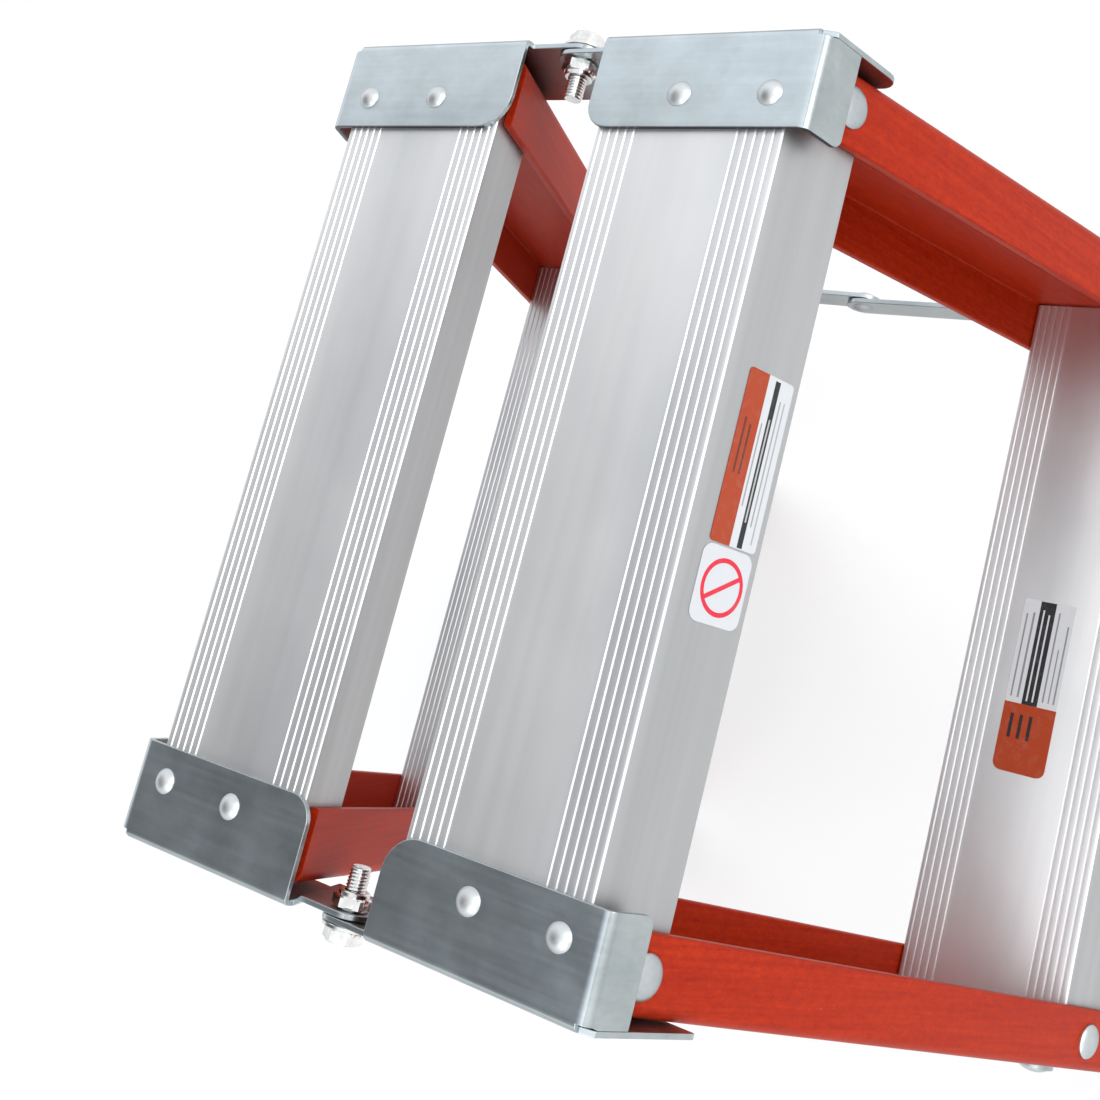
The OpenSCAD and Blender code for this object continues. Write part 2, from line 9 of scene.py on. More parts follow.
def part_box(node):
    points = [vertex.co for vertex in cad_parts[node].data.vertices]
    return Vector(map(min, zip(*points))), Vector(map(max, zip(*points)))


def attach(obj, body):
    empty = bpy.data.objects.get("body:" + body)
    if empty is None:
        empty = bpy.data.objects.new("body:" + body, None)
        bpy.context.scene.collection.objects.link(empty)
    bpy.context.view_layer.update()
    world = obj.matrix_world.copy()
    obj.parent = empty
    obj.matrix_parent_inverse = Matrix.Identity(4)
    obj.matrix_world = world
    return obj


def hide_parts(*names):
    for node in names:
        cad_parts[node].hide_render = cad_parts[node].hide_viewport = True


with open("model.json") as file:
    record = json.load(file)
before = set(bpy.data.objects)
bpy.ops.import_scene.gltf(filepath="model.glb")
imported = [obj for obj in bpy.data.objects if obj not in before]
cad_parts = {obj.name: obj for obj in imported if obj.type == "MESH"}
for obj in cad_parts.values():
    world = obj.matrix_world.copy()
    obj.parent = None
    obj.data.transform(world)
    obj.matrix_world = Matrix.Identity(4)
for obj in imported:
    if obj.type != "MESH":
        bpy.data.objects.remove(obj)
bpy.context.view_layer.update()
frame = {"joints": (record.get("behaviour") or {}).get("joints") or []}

# ---- Steps ----
# Each step is one length of aluminium extrusion: a tread with a band of grip grooves along each edge,
# two flanges that lean with the rails, small lips below them and a rib under the middle. A twin-front
# stepladder has two like sides: each piece is drawn for the front one and turned round for the rear.
MM = 0.001
SIDES = ("front", "rear")
STEPS = 4
turned = {"front": Matrix.Identity(4), "rear": Matrix.Rotation(math.pi, 4, "Z")}
top_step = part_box(f"front_step_{STEPS}")
next_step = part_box(f"front_step_{STEPS - 1}")
left_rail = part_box("front_left_rail")
tread_top = top_step[1].z
lean = math.atan2(top_step[1].y - next_step[1].y, tread_top - next_step[1].z)
slope = math.tan(lean)
pitch = (tread_top - next_step[1].z) / math.cos(lean)
spread = (next_step[1].x - top_step[1].x) / pitch
rail_back = -left_rail[1].y - (tread_top - left_rail[1].z) * slope
rail_wall = 4 * MM
end_gap = 1 * MM


def leaning_height(y, z):
    """Height along the lean, from the top tread, of a point at y and z on the front side."""
    return (y + rail_back) * math.sin(lean) + (z - tread_top) * math.cos(lean)


top_half_width = (top_step[1].x + rail_wall * math.hypot(1, spread) + end_gap
                  + leaning_height(top_step[0].y, top_step[0].z) * spread)


def rail_x(height):
    """Distance of a rail's outer face from the middle, at a height along the lean."""
    return top_half_width - height * spread


def rounded(corners, steps=5):
    """The outline through corners (x, y, radius), each rounded by an arc."""
    outline = []
    for i, (x, y, radius) in enumerate(corners):
        here = Vector((x, y))
        if radius == 0:
            outline.append(here)
            continue
        before = (Vector(corners[i - 1][:2]) - here).normalized()
        after = (Vector(corners[(i + 1) % len(corners)][:2]) - here).normalized()
        half = before.angle(after) / 2
        centre = here + (before + after).normalized() * radius / math.sin(half)
        start = here + before * radius / math.tan(half) - centre
        turn = start.angle_signed(here + after * radius / math.tan(half) - centre)
        for k in range(steps + 1):
            outline.append(centre + Matrix.Rotation(-turn * k / steps, 2) @ start)
    return outline


def skin(shape, rings, closed=False):
    """Joins rings of points in order, with a flat face over each end or round to the first again."""
    made = [[shape.verts.new(point) for point in ring] for ring in rings]
    pairs = list(zip(made, made[1:]))
    if closed:
        pairs.append((made[-1], made[0]))
    else:
        shape.faces.new(made[0][::-1])
        shape.faces.new(made[-1])
    for low, high in pairs:
        for i in range(len(low)):
            j = (i + 1) % len(low)
            shape.faces.new((low[i], low[j], high[j], high[i]))


def put(name, shape, finish, body, slot, *nodes, edge=0.0, thick=0.0):
    """Makes one piece from a shape, on its body, in place of its CAD nodes."""
    if thick == 0:
        bmesh.ops.recalc_face_normals(shape, faces=shape.faces)
    mesh = bpy.data.meshes.new(name)
    shape.to_mesh(mesh)
    shape.free()
    mesh.materials.append(finish.material)
    mesh.shade_smooth()
    mesh.set_sharp_from_angle(angle=math.radians(32))
    made = bpy.data.objects.new(name, mesh)
    bpy.context.scene.collection.objects.link(made)
    if thick:
        sheet = made.modifiers.new("Sheet", "SOLIDIFY")
        sheet.thickness = thick
        sheet.offset = -1
        sheet.use_even_offset = True
    if edge:
        bevel = made.modifiers.new("Edges", "BEVEL")
        bevel.width = edge
        bevel.segments = 2
        bevel.limit_method = "ANGLE"
        bevel.angle_limit = math.radians(34)
        bevel.harden_normals = True
    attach(made, body)
    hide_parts(*nodes)
    return made


class Wire:
    """A socket in a finish, so that sums can be written on it."""

    def __init__(self, finish, socket):
        self.finish = finish
        self.socket = socket

    def __add__(self, other):
        return self.finish.sum("ADD", self, other)

    def __radd__(self, other):
        return self.finish.sum("ADD", other, self)

    def __sub__(self, other):
        return self.finish.sum("SUBTRACT", self, other)

    def __rsub__(self, other):
        return self.finish.sum("SUBTRACT", other, self)

    def __mul__(self, other):
        return self.finish.sum("MULTIPLY", self, other)

    def __rmul__(self, other):
        return self.finish.sum("MULTIPLY", other, self)

    def __gt__(self, other):
        return self.finish.sum("GREATER_THAN", self, other)

    def __lt__(self, other):
        return self.finish.sum("LESS_THAN", self, other)


class Finish:
    """A material: its shader, each point's place and the way it faces, and the nodes that vary it."""

    def __init__(self, name, **settings):
        self.material = bpy.data.materials.new(name)
        self.material.use_nodes = True
        self.tree = self.material.node_tree
        self.shader = self.tree.nodes["Principled BSDF"]
        self.place = self.node("ShaderNodeTexCoord", output="Object")
        self.facing = self.node("ShaderNodeTexCoord", output="Normal")
        self.set(**settings)

    def set(self, **sockets):
        """Sets the shader's own sockets, named with underscores, to values or wires."""
        for key, value in sockets.items():
            self.join(value, self.shader.inputs[key.replace("_", " ")])

    def join(self, value, socket):
        if isinstance(value, Wire):
            self.tree.links.new(value.socket, socket)
        else:
            socket.default_value = value

    def node(self, kind, settings=(), sockets=(), output=0):
        """One node: its type, its settings, then the values or wires of its sockets."""
        made = self.tree.nodes.new(kind)
        for key, value in dict(settings).items():
            if key == "stops":
                ramp = made.color_ramp.elements
                while len(ramp) < len(value):
                    ramp.new(0.5)
                for stop, (where, shade) in zip(ramp, value):
                    stop.position = where
                    stop.color = (*shade, 1) if isinstance(shade, tuple) else (shade,) * 3 + (1,)
            else:
                setattr(made, key, value)
        for key, value in dict(sockets).items():
            self.join(value, made.inputs[key])
        return Wire(self, made.outputs[output])

    def sum(self, operation, left, right):
        return self.node("ShaderNodeMath", {"operation": operation}, {0: left, 1: right})

    def axis(self, name, where=None):
        """One coordinate of a place, in metres, or of a direction."""
        return self.node("ShaderNodeSeparateXYZ", (), {0: where or self.place}, output=name)

    def noise(self, scale, detail=2.0, stretch=(1, 1, 1), turn=0.0, roughness=0.5):
        """Noise over the piece, 0 to 1; stretch is the number of grains each way, turn is about X."""
        where = self.place
        if turn:
            where = self.node("ShaderNodeMapping", (), {"Vector": where, "Rotation": (turn, 0, 0)})
        where = self.node("ShaderNodeMapping", (), {"Vector": where, "Scale": stretch})
        return self.node("ShaderNodeTexNoise", (), {"Vector": where, "Scale": scale,
                         "Detail": detail, "Roughness": roughness})

    def ramp(self, amount, stops):
        return self.node("ShaderNodeValToRGB", {"stops": stops}, {0: amount})

    def mix(self, amount, first, second):
        """Between two colours."""
        if not isinstance(first, Wire):
            first = (*first, 1)
        if not isinstance(second, Wire):
            second = (*second, 1)
        return self.node("ShaderNodeMix", {"data_type": "RGBA"},
                         {"Factor": amount, 6: first, 7: second}, output=2)

    def relief(self, height, strength, distance):
        """Fine relief on the surface, height in units of the distance."""
        bump = self.node("ShaderNodeBump", (),
                         {"Height": height, "Strength": strength, "Distance": distance})
        self.set(Normal=bump)


step_height = tread_top - top_step[0].z
tread_back = top_step[1].y
tread_front = top_step[0].y + step_height * slope
step_wall = 2.4 * MM
step_lip = 9 * MM
step_rib = 13 * MM
groove_count = 5
groove_pitch = 3.6 * MM
groove_width = 1.3 * MM
groove_depth = 0.5 * MM
groove_edge = 2.6 * MM


def groove_band(y):
    """Corners of one band of grooves with sloped walls, the first starting at y."""
    soft = 0.12 * MM
    wall = 3 * soft
    band = []
    for i in range(groove_count):
        at = y + i * groove_pitch
        band += [(at, 0, soft), (at + wall, -groove_depth, soft),
                 (at + groove_width - wall, -groove_depth, soft), (at + groove_width, 0, soft)]
    return band


def step_outline():
    """The step's section, seen from its left end, from the tread's front edge round."""
    nose = 1.1 * MM
    heel = 0.8 * MM
    tip = 0.5 * MM
    fillet = 0.9 * MM
    rib_root = 0.6 * MM
    rib_tip = 0.4 * MM
    wall = step_wall / math.cos(lean)
    low = -step_height
    lip_top = low + step_wall
    rib = (tread_front + tread_back + step_wall) / 2
    last_band = tread_back - groove_edge - groove_width - (groove_count - 1) * groove_pitch
    corners = [(tread_front, 0, nose)]
    corners += groove_band(tread_front + groove_edge)
    corners += groove_band(last_band)
    corners += [(tread_back, 0, nose)]
    for y, inward in ((tread_back, -1), (tread_front, 1)):
        flange = [(y + low * slope, low, heel),
                  (y + low * slope + inward * step_lip, low, tip),
                  (y + low * slope + inward * step_lip, lip_top, tip),
                  (y + lip_top * slope + inward * wall, lip_top, fillet),
                  (y - step_wall * slope + inward * wall, -step_wall, fillet)]
        if inward < 0:
            flange += [(rib, -step_wall, rib_root), (rib, -step_rib, rib_tip),
                       (rib - step_wall, -step_rib, rib_tip), (rib - step_wall, -step_wall, rib_root)]
            corners += flange
        else:
            corners += flange[::-1]
    return rounded(corners, 3)


aluminium = Finish("Satin_extruded_aluminium", Metallic=1.0)
die_lines = aluminium.noise(160, 3, stretch=(0.012, 1, 1))
fine_lines = aluminium.noise(900, 2, stretch=(0.006, 1, 1))
streaks = aluminium.noise(26, 3, stretch=(0.10, 1, 1))
clouds = aluminium.noise(7, 4, stretch=(0.6, 1, 1), roughness=0.6)
shade = aluminium.ramp(streaks * 0.5 + clouds * 0.5, [(0.34, (0.66, 0.67, 0.69)),
                       (0.5, (0.80, 0.805, 0.815)), (0.66, (0.90, 0.90, 0.905))])
shade = aluminium.mix((die_lines - 0.5) * 0.5, shade, (0.62, 0.63, 0.65))
# Faces that point up keep the lighter colours and all other faces get a darker grey: painted light on
# the tops, painted shade on the sides and undersides.
lit_top_faces = aluminium.axis("Z", aluminium.facing) > 0.5
shaded_other_faces = aluminium.ramp(streaks * 0.6 + die_lines * 0.4, [(0.3, (0.36, 0.365, 0.37)),
                           (0.7, (0.48, 0.485, 0.49))])
aluminium.set(Base_Color=aluminium.mix(lit_top_faces, shaded_other_faces, shade),
              Roughness=0.34 + clouds * 0.16 + die_lines * 0.10)
aluminium.relief(die_lines * 0.6 + fine_lines * 0.4, 0.35, 0.00006)

outline = step_outline()
for side in SIDES:
    for k in range(1, STEPS + 1):
        drop = (STEPS - k) * pitch
        away = Vector((0, -drop * math.sin(lean), tread_top - drop * math.cos(lean)))
        step = bmesh.new()
        ends = []
        for hand in (-1, 1):
            ring = []
            for y, z in outline:
                reach = (rail_x(leaning_height(away.y + y, away.z + z))
                         - rail_wall * math.hypot(1, spread) - end_gap)
                ring.append(turned[side] @ Vector((hand * reach, away.y + y, away.z + z)))
            ends.append(ring)
        skin(step, ends)
        put(f"{side}_tread_{k}", step, aluminium, f"{side}_section", "step_aluminium",
            f"{side}_step_{k}")

# ---- Rails ----
# Pultruded fibreglass channels, open inwards, orange-red right through. Glass strands run along them
# under a thin skin of resin, which shows as a fine mottle and as streaks; the corners are rubbed paler.
HANDS = {"left": -1, "right": 1}
rail_depth = (-left_rail[0].y - rail_back - (tread_top - left_rail[0].z) * slope) * math.cos(lean)
rail_flange = 28.5 * MM
rail_corner = 5 * MM
leaning = Matrix.Translation((0, -rail_back, tread_top)) @ Matrix.Rotation(-lean, 4, "X")


def rail_finish(name, angle):
    """The resin's look, with its strands at an angle about X from upright."""
    resin = Finish(name, Specular_IOR_Level=0.1)
    strands = resin.noise(700, 3, stretch=(1, 1, 0.03), turn=angle)
    mottle = resin.noise(420, 4, stretch=(1, 1, 0.5), turn=angle, roughness=0.65)
    speckle = resin.noise(1300, 2, roughness=0.6)
    patches = resin.noise(9, 3, stretch=(1, 1, 0.3), turn=angle)
    tone = mottle * 0.45 + strands * 0.3 + speckle * 0.25
    shade = resin.ramp(tone, [(0.34, (0.23, 0.008, 0.001)), (0.5, (0.31, 0.016, 0.002)),
                              (0.66, (0.40, 0.027, 0.003))])
    shade = resin.mix((patches - 0.4) * 0.3, shade, (0.40, 0.033, 0.005))
    rubbed = resin.noise(60, 5, stretch=(1, 1, 0.25), turn=angle, roughness=0.75)
    shade = resin.mix((rubbed > 0.70) * speckle * 0.35, shade, (0.55, 0.15, 0.10))
    resin.set(Base_Color=shade, Roughness=0.34 + mottle * 0.22)
    resin.relief(strands * 0.5 + mottle * 0.5, 0.30, 0.00012)
    return resin


resins = {"front": rail_finish("Fibreglass_front", lean),
          "rear": rail_finish("Fibreglass_rear", -lean)}
rail_lip = 0.9 * MM
rail_fillet = 1 * MM
rail_corners = [(-rail_flange, -rail_depth, rail_lip), (0, -rail_depth, rail_corner),
                (0, 0, rail_corner), (-rail_flange, 0, rail_lip), (-rail_flange, -rail_wall, rail_lip),
                (-rail_wall, -rail_wall, rail_fillet),
                (-rail_wall, rail_wall - rail_depth, rail_fillet),
                (-rail_flange, rail_wall - rail_depth, rail_lip)]


def rail_frame(s):
    """Origin on the rail's outer face at the top tread, +Z up along the rail."""
    return (leaning @ Matrix.Translation((s * top_half_width, 0, 0))
            @ Matrix.Rotation(-s * math.atan(spread), 4, "Y"))


def level_cut(where, x, y, height):
    """The point of the line along +Z through x, y in the frame where, at a height above the floor."""
    start = where @ Vector((x, y, 0))
    along = where.to_3x3() @ Vector((0, 0, 1))
    return start + along * (height - start.z) / along.z


def around_rail(side, s, corners, heights, arc_steps=6):
    """Level cuts, at each height, of an outline that runs along the rail."""
    return [[turned[side] @ level_cut(rail_frame(s), s * x, y, height)
             for x, y in rounded(corners, arc_steps)] for height in heights]


for side in SIDES:
    for hand, s in HANDS.items():
        rail = bmesh.new()
        skin(rail, around_rail(side, s, rail_corners, (left_rail[0].z, left_rail[1].z), 7))
        put(f"{side}_{hand}_channel", rail, resins[side], f"{side}_section", "rail_fibreglass",
            f"{side}_{hand}_rail", edge=0.35 * MM)

# ---- Step rivets ----
# Each step's flanges are riveted to the rails' flanges: wide button heads outside, tails inside. Only
# the front flange of the top step is riveted, since the brackets hold its back.
button_head = (8 * MM, 3 * MM)
button_tail = (6 * MM, 2 * MM)
rivet_inset = 14.4 * MM
top_drop = 23.5 * MM
usual_drop = 16 * MM
front_grip = rail_wall + step_wall
back_grip = rail_depth - rail_wall - (tread_back - tread_front) * math.cos(lean) + step_wall

zinc = Finish("Bright_zinc", Metallic=1.0)
dull = zinc.noise(260, 4, roughness=0.7)
smudge = zinc.noise(45, 3)
lit_from_above = zinc.axis("Z", zinc.facing)
# Faces that point up are painted lighter and faces turned sideways or down darker: painted light and
# shade, on top of the random dullness and smudges.
tone = dull * 0.3 + smudge * 0.2 + lit_from_above * 0.5
zinc.set(Base_Color=zinc.ramp(tone, [(0.3, (0.36, 0.39, 0.40)), (0.8, (0.68, 0.70, 0.71))]),
         Roughness=0.34 + dull * 0.2)
zinc.relief(dull, 0.25, 0.0001)


def turn_on_lathe(shape, where, profile, sides=28, flats=0.0, closed=False):
    """A turned shape from (radius, height) points; flats is half a hexagon's width across flats."""
    rings = []
    for radius, height in profile:
        ring = []
        for i in range(sides):
            angle = 2 * math.pi * i / sides
            reach = radius
            if flats:
                away = (angle + math.pi / 6) % (math.pi / 3) - math.pi / 6
                reach = min(radius, flats / math.cos(away))
            ring.append(where @ Vector((reach * math.cos(angle), reach * math.sin(angle), height)))
        rings.append(ring)
    skin(shape, rings, closed)


def button(radius, height):
    """Profile of a low rivet head: a small upright rim, then a smooth crown."""
    rim = 0.12 * height
    crown = [(radius * math.cos(a), rim + (height - rim) * math.sin(a))
             for a in (math.radians(d) for d in range(8, 90, 8))]
    return [(radius * 0.985, 0)] + crown + [(0.02 * radius, height)]


def facing(x, y, z, direction):
    """A frame at a point with its +Z along a direction."""
    return Matrix.Translation((x, y, z)) @ direction.to_track_quat("Z", "Y").to_matrix().to_4x4()


for side in SIDES:
    rivets = bmesh.new()
    for s in HANDS.values():
        for k in range(1, STEPS + 1):
            for y, out in ((-rail_depth, -1), (0, 1)):
                if k == STEPS and out > 0:
                    continue
                drop = top_drop if k == STEPS else usual_drop
                z = -(STEPS - k) * pitch + y * slope - drop / math.cos(lean)
                x = s * (rail_x(z) - rivet_inset)
                head = turned[side] @ leaning @ facing(x, y, z, Vector((0, out, 0)))
                grip = front_grip if out < 0 else back_grip
                tail = turned[side] @ leaning @ facing(x, y - out * grip, z, Vector((0, -out, 0)))
                turn_on_lathe(rivets, head, button(*button_head))
                turn_on_lathe(rivets, tail, button(*button_tail), 20)
    put(f"{side}_rail_rivets", rivets, zinc, f"{side}_section", "rivet_zinc",
        f"{side}_step_rivets")

# ---- Top brackets ----
# Galvanised steel sheet, folded down over the front of the top step and over the rail's outer face.
# The side runs back past the rail as a hinge ear, flat on the left and set inwards on the right.
front_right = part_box("front_right_bracket")
front_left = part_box("front_left_bracket")
sheet = front_right[1].z - tread_top
bracket_edge = front_right[0].x
bracket_out = front_right[1].x
bracket_back = 19 * MM
level_top = Matrix.Translation((0, 0, tread_top))
front_fold = 5 * MM
side_fold = 3 * MM
lip_drop = 16 * MM
lip_corner = 4 * MM
relief_cut = 2 * MM
ear_top = 3 * MM
ear_reach = 9 * MM
ear_corner = 8 * MM
ear_gap = 0.3 * MM
plate_corner = 1 * MM
plate_toe = 6 * MM
joggle = 4 * MM
plate_drops = {"left": tread_top - front_left[0].z, "right": tread_top - front_right[0].z}
back_corners = {"left": 14 * MM, "right": 10 * MM}
plate_front = front_left[0].y + plate_drops["left"] * slope

galvanised = Finish("Galvanised_steel", Metallic=1.0)
spangle = galvanised.node("ShaderNodeTexVoronoi", {"feature": "F1"},
                          {"Vector": galvanised.place, "Scale": 190, "Randomness": 1.0}, output="Color")
grain = galvanised.axis("X", spangle)
bloom = galvanised.noise(38, 4, roughness=0.6)
wiped = galvanised.noise(520, 2, stretch=(1, 0.05, 0.4))
rubbing = galvanised.noise(110, 4, stretch=(1, 0.3, 1), roughness=0.7)
tone = bloom * 0.58 + grain * 0.05 + wiped * 0.20 + rubbing * 0.17
# Level faces that point up are painted lighter: painted light.
lit_level_faces = galvanised.axis("Z", galvanised.facing) > 0.9
tone = tone * 0.7 + lit_level_faces * 0.3
shade = galvanised.ramp(tone, [(0.25, (0.31, 0.345, 0.35)), (0.42, (0.40, 0.435, 0.44)),
                               (0.56, (0.47, 0.525, 0.56)), (0.75, (0.60, 0.67, 0.71))])
# The sheet's cut edge near bracket_edge that faces towards -X is painted near-black: a painted shade
# line along the bracket's inner edge.
across = galvanised.axis("X")
edge_band = 0.6 * MM
cut_face = (across > bracket_edge - edge_band) * (across < bracket_edge + edge_band)
shaded_cut_edge = cut_face * (galvanised.axis("X", galvanised.facing) < -0.8)
galvanised.set(Base_Color=galvanised.mix(shaded_cut_edge, shade, (0.05, 0.055, 0.06)),
               Roughness=0.20 + bloom * 0.14 + wiped * 0.08)
galvanised.relief(wiped * 0.35 + rubbing * 0.4 + grain * 0.25, 0.22, 0.00008)


def lip_line(z):
    """Place of the front lip's outer face at a height from the top tread."""
    return plate_front + z * slope


def bracket_shape(hand, where):
    """The sheet's outer skin: top, front fold and lip, side fold, then the side plate and its ear."""
    shape = bmesh.new()
    drop = plate_drops[hand]
    side = Matrix.Scale(HANDS[hand], 4, (1, 0, 0))

    def add(points):
        shape.faces.new([shape.verts.new(where @ side @ Vector(p)) for p in points])

    bend = math.pi / 2 - lean
    fold_y = lip_line(sheet) + front_fold * math.tan(bend / 2)
    fold_x = bracket_out - side_fold
    top = [(bracket_edge, -bracket_back, back_corners[hand]), (fold_x, -bracket_back, 0),
           (fold_x, fold_y, 0), (bracket_edge, fold_y, 0)]
    add([(x, y, sheet) for x, y in rounded(top, 8)])
    steps = 6
    turns = [bend * i / steps for i in range(steps + 1)]
    front = [(fold_y - front_fold * math.sin(a), sheet - front_fold + front_fold * math.cos(a))
             for a in turns]
    for (y1, z1), (y2, z2) in zip(front, front[1:]):
        add([(bracket_edge, y1, z1), (fold_x, y1, z1), (fold_x, y2, z2), (bracket_edge, y2, z2)])
    low = -lip_drop
    last = front[-1]
    lip = [(bracket_edge, last[1], 0), (bracket_edge, low, lip_corner), (bracket_out - sheet, low, 0),
           (bracket_out - sheet, last[1] - relief_cut, 0), (fold_x, last[1], 0)]
    add([(x, lip_line(z), z) for x, z in rounded(lip, 6)])
    turns = [math.pi / 2 * i / steps for i in range(steps + 1)]
    over = [(fold_x + side_fold * math.sin(a), sheet - side_fold + side_fold * math.cos(a))
            for a in turns]
    for (x1, z1), (x2, z2) in zip(over, over[1:]):
        add([(x1, fold_y, z1), (x1, -bracket_back, z1), (x2, -bracket_back, z2), (x2, fold_y, z2)])
    z_top = sheet - side_fold
    notch = [(fold_y, z_top, 0), (lip_line(z_top - relief_cut), z_top - relief_cut, 0)]
    if hand == "left":
        plate = notch + [(lip_line(-drop), -drop, plate_corner), (ear_reach, -drop, ear_corner),
                         (ear_reach, -ear_top, ear_corner), (-bracket_back, -ear_top, plate_corner),
                         (-bracket_back, z_top, 0)]
        add([(bracket_out, y, z) for y, z in rounded(plate, 6)])
    else:
        ear_x = bracket_out - sheet - ear_gap

        def joggle_y(z, t):
            """Place of the step inwards at a height, t along it."""
            return -rail_back + t / math.cos(lean) + z * slope

        plate = notch + [(lip_line(-drop), -drop, plate_toe), (joggle_y(-drop, 0), -drop, 0),
                         (-bracket_back, -ear_top, 0), (-bracket_back, z_top, 0)]
        add([(bracket_out, y, z) for y, z in rounded(plate, 6)])
        inner = [(joggle_y(-drop, joggle), -drop), (joggle_y(-ear_top, joggle), -ear_top)]
        add([(bracket_out, -bracket_back, -ear_top), (bracket_out, joggle_y(-drop, 0), -drop),
             (ear_x, *inner[0]), (ear_x, *inner[1])])
        ear = [(*inner[0], 0), (ear_reach, -drop, ear_corner), (ear_reach, -ear_top, ear_corner),
               (*inner[1], 0)]
        add([(ear_x, y, z) for y, z in rounded(ear, 6)])
    bmesh.ops.remove_doubles(shape, verts=shape.verts, dist=1e-6)
    bmesh.ops.recalc_face_normals(shape, faces=shape.faces)
    highest = max(shape.faces, key=lambda f: f.calc_center_median().z)
    if highest.normal.z < 0:
        bmesh.ops.reverse_faces(shape, faces=shape.faces)
    return shape


for side in SIDES:
    for hand in HANDS:
        put(f"{side}_{hand}_top_plate", bracket_shape(hand, turned[side] @ level_top), galvanised,
            f"{side}_section", "bracket_steel", f"{side}_{hand}_bracket", edge=0.5 * MM, thick=sheet)

# ---- Bracket rivets ----
# Two domed rivets hold each bracket down on the top step, and two hold its side to the rail's web.
# They are zinc-plated steel, each closed by a smaller dome on the far side.
large_head = (6 * MM, 2.6 * MM)
large_tail = (5 * MM, 1.5 * MM)
small_head = (5 * MM, 2.6 * MM)
small_tail = (4 * MM, 1.5 * MM)
top_rivet_x = 148 * MM
top_rivet_depths = (-58 * MM, -95 * MM)
side_rivet_depths = (-64 * MM, -98 * MM)
side_rivet_drop = 26 * MM


def dome(radius, height):
    """Profile of a round rivet head, with a small rolled rim."""
    ball = (radius * radius + height * height) / (2 * height)
    sweep = math.asin(radius / ball)
    crown = [(ball * math.sin(sweep * i / 9), height - ball + ball * math.cos(sweep * i / 9))
             for i in range(9, 0, -1)]
    raised = [(r, 0.06 * height + 0.94 * z) for r, z in crown]
    return [(radius, -0.05 * height)] + raised + [(0.03 * radius, height)]


def round_rivet(shape, head, tail, head_size, tail_size):
    """A rivet's domed head in one frame, then its smaller closed end in another."""
    turn_on_lathe(shape, head, dome(*head_size))
    turn_on_lathe(shape, tail, dome(*tail_size), 20)


for side in SIDES:
    rivets = bmesh.new()
    for s in HANDS.values():
        for y in top_rivet_depths:
            x = s * top_rivet_x
            head = turned[side] @ facing(x, y, tread_top + sheet, Vector((0, 0, 1)))
            tail = turned[side] @ facing(x, y, tread_top - step_wall, Vector((0, 0, -1)))
            round_rivet(rivets, head, tail, small_head, small_tail)
        for y in side_rivet_depths:
            z = tread_top - side_rivet_drop
            inner = rail_x(leaning_height(y, z)) - rail_wall - 0.3 * MM
            head = turned[side] @ facing(s * bracket_out, y, z, Vector((s, 0, 0)))
            tail = turned[side] @ facing(s * inner, y, z, Vector((-s, 0, 0)))
            round_rivet(rivets, head, tail, large_head, large_tail)
    put(f"{side}_plate_rivets", rivets, zinc, f"{side}_section", "rivet_zinc",
        f"{side}_bracket_rivets")

# ---- Hinge bolts ----
# A plated hexagon bolt joins each pair of ears. Its head and a washer are outside, and a lock nut and
# the bare end of the thread are inside.
fold_joint = next(j for j in frame["joints"] if j["name"] == "rear_fold")
bolt_y, bolt_z = fold_joint["pos_m"][1:]
bolt_r = 4 * MM
thread_pitch = 1.25 * MM
thread_depth = 0.55 * MM
shank_start = 1 * MM
hex_flats = 6.5 * MM
washer_r = 9 * MM
washer_edge = 0.25 * MM
nut_length = 6.4 * MM
nut_collar = 5.8 * MM

plated = Finish("Bright_plated_bolt", Metallic=1.0)
cloudy = plated.noise(180, 3)
plated.set(Base_Color=plated.ramp(cloudy, [(0.3, (0.62, 0.61, 0.60)), (0.7, (0.82, 0.82, 0.81))]),
           Roughness=0.12 + cloudy * 0.16)
plated.relief(cloudy, 0.15, 0.00008)


def chamfered(flats, length, blunt=0.14):
    """Profile of a hexagon's length with both ends turned down."""
    corner = flats / math.cos(math.pi / 6)
    low = flats * 0.96
    return [(0.2 * flats, 0), (low, 0), (corner, blunt * length), (corner, (1 - blunt) * length),
            (low, length), (0.2 * flats, length)]


def threaded(shape, where, length):
    """A bar with a screw thread, along +Z."""
    rings = []
    sides = 24
    rows = round(length / thread_pitch * 8)
    for row in range(rows + 1):
        z = length * row / rows
        ring = []
        for i in range(sides):
            turn = (z / thread_pitch - i / sides) % 1
            reach = bolt_r - thread_depth * abs(2 * turn - 1) - max(0, z - length + 0.8 * MM) * 0.6
            angle = 2 * math.pi * i / sides
            ring.append(where @ Vector((reach * math.cos(angle), reach * math.sin(angle), z)))
        rings.append(ring)
    skin(shape, rings)


def from_middle(box):
    """The nearest and the farthest that a box comes to the ladder's middle, sideways."""
    return sorted((abs(box[0].x), abs(box[1].x)))


